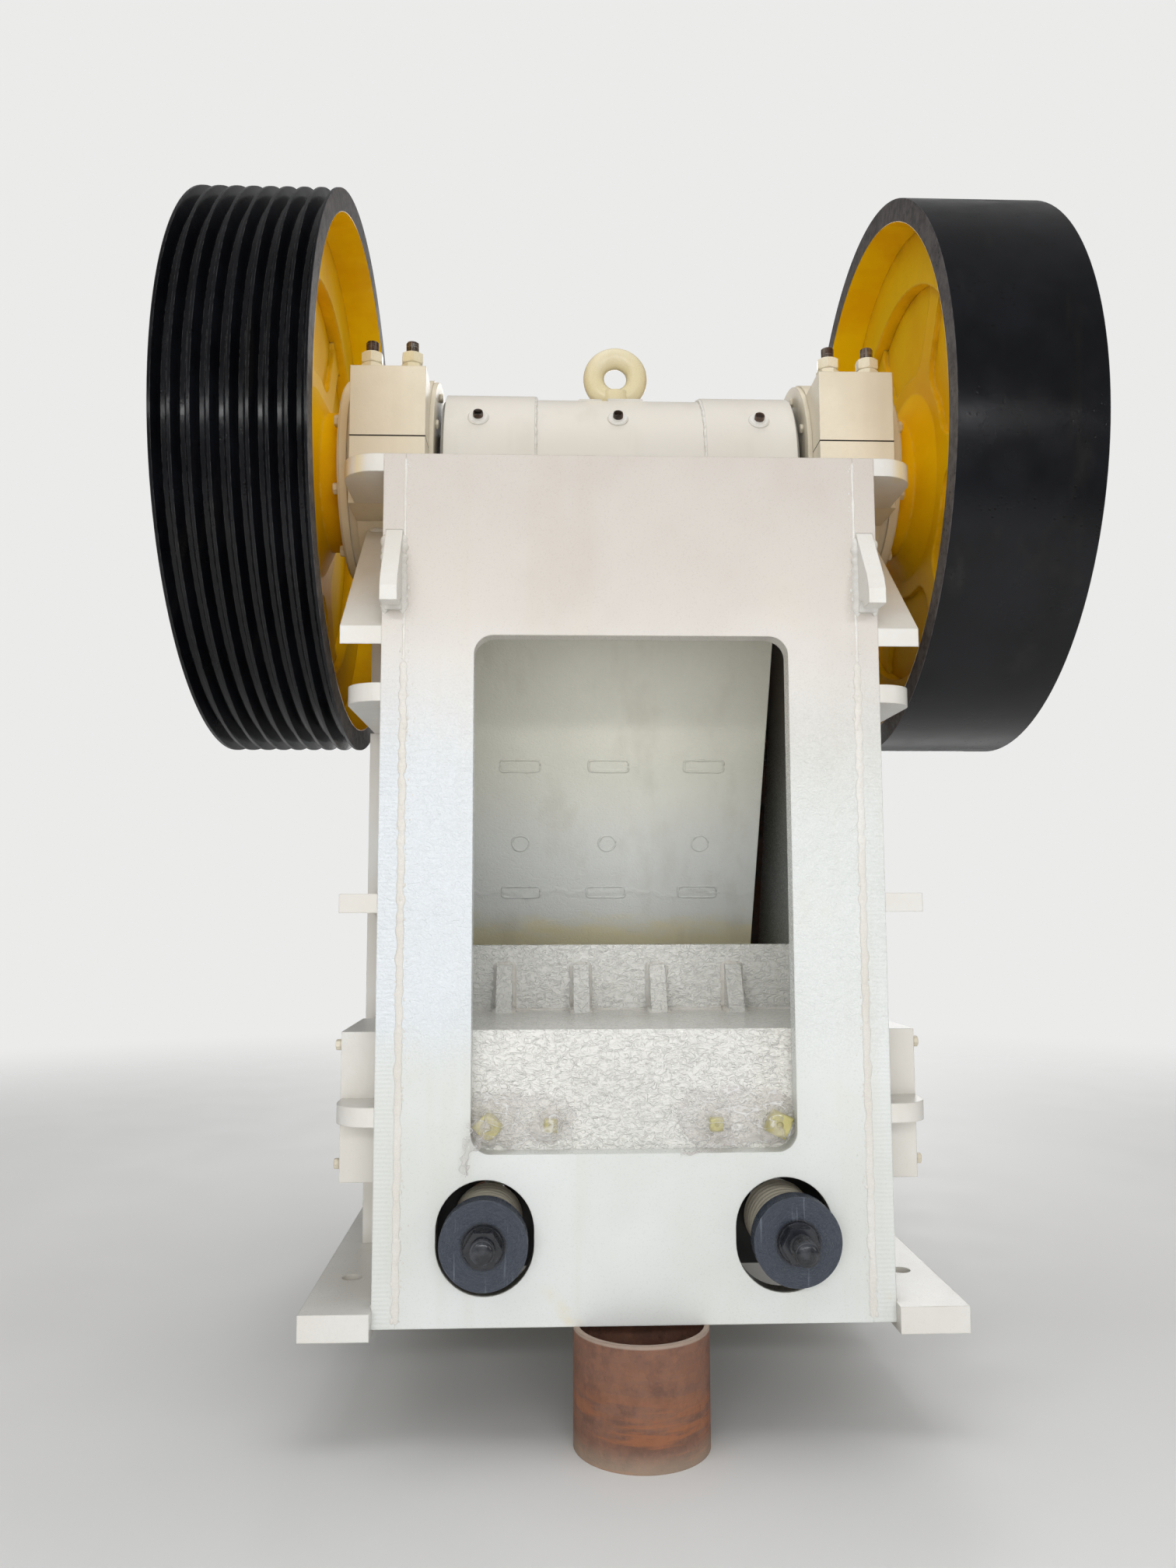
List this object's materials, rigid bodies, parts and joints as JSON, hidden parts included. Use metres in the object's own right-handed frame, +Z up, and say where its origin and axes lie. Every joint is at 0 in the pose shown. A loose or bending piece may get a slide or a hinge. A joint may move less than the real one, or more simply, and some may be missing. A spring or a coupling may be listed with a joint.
{
  "type": "jaw crusher",
  "caption": "Single-toggle jaw crusher: ribbed plate body with a rear window, toothed jaws, an eccentric shaft with a grooved pulley and a flywheel, spring-loaded rods, on short pipe stands.",
  "frame": {"origin": "middle of the machine's footprint, on the floor under the pipe stands", "axes": "+Z up, +Y from the rear wall with the window towards the front wall, +X towards the flywheel, the grooved pulley at -X"},
  "size_m": [2.302, 2.287, 3.332],
  "materials": {
    "cream_paint": "gloss",
    "wheel_paint": "gloss",
    "black_paint": "gloss",
    "cast_steel": "rough cast",
    "bright_steel": "machined",
    "dark_steel": "oiled",
    "zinc_steel": "yellow zinc",
    "rusty_steel": "rusty"
  },
  "bodies": {
    "frame": {"side_plate_left": "cream_paint", "side_plate_right": "cream_paint", "rear_wall": "cream_paint", "front_wall": "cream_paint", "front_ribs": "cream_paint", "front_uprights": "cream_paint", "side_ribs_left": "cream_paint", "side_ribs_right": "cream_paint", "seat_braces_left": "cream_paint", "seat_braces_right": "cream_paint", "foot_left": "cream_paint", "foot_right": "cream_paint", "bearing_seat_left": "cream_paint", "bearing_seat_right": "cream_paint", "bearing_cap_left": "cream_paint", "bearing_cap_right": "cream_paint", "cap_studs": "cream_paint", "outer_covers": "cream_paint", "inner_covers": "cream_paint", "cheek_plates": "bright_steel", "fixed_jaw_plate": "cast_steel", "toggle_beam": "cream_paint", "toggle_block": "cream_paint", "toggle_plate": "cast_steel", "side_boxes": "cream_paint", "adjusting_bolts": "zinc_steel", "lifting_hooks": "cream_paint", "spring_seat": "cream_paint", "pipe_stand_rear": "rusty_steel", "pipe_stand_front": "rusty_steel"},
    "rotor": {"eccentric_shaft": "bright_steel", "pulley_rim": "black_paint", "pulley_web": "wheel_paint", "pulley_spokes": "wheel_paint", "flywheel_rim": "black_paint", "flywheel_web": "wheel_paint", "flywheel_spokes": "wheel_paint"},
    "jaw": {"jaw_body": "cream_paint", "jaw_end_rings": "cream_paint", "lifting_eye": "cream_paint", "movable_jaw_plate": "cast_steel", "tension_rod_left": "dark_steel", "tension_rod_right": "dark_steel", "rod_springs": "cream_paint", "spring_caps": "black_paint"}
  },
  "joints": [
    {"name": "shaft_spin", "type": "hinge", "parent": "frame", "child": "rotor", "pos_m": [0, -0.33, 2.526], "axis": [1, 0, 0], "continuous": true},
    {"name": "jaw_on_eccentric", "type": "hinge", "parent": "rotor", "child": "jaw", "pos_m": [0, -0.33, 2.511], "axis": [1, 0, 0], "continuous": true}
  ],
  "couplings": [
    {"joint": "jaw_on_eccentric", "follows": "shaft_spin", "ratio": -1}
  ]
}
